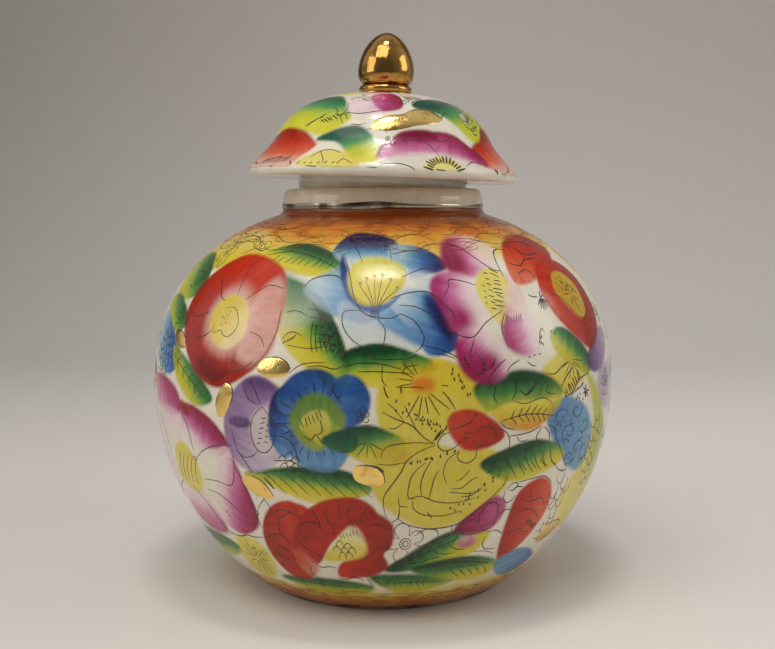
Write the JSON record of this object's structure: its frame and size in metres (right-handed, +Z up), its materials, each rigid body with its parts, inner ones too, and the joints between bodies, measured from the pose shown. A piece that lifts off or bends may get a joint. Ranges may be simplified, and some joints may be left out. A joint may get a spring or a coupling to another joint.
{
  "type": "ginger jar",
  "caption": "Round porcelain ginger jar with a hat-shaped lift-off lid, rolled neck ring and gilded egg finial, covered in overglaze enamel flowers.",
  "frame": {"origin": "centre of the foot ring on the plane that the jar stands on", "axes": "+Z up through the centre of the mouth; +X towards the side that the lid's dome leans to; -Y faces the viewer of the decoration's front"},
  "size_m": [0.1346, 0.1346, 0.1602],
  "materials": {
    "enamelled_porcelain": "clear gloss glaze under opaque and translucent enamels",
    "plain_glaze": "clear gloss glaze",
    "bare_foot": "unglazed, matt",
    "gilded_porcelain": "burnished bright gold over glaze"
  },
  "bodies": {
    "jar": {"jar_body": "enamelled_porcelain", "foot_ring": "bare_foot", "neck_collar": "plain_glaze"},
    "lid": {"lid_dome": "enamelled_porcelain", "lid_seat_ring": "plain_glaze", "lid_flange": "plain_glaze", "finial_collar": "gilded_porcelain", "finial_knob": "gilded_porcelain"}
  },
  "joints": [
    {"name": "lid_lift", "type": "slide", "parent": "jar", "child": "lid", "axis": [0, 0, 1], "range_m": [0, 0.06]}
  ]
}
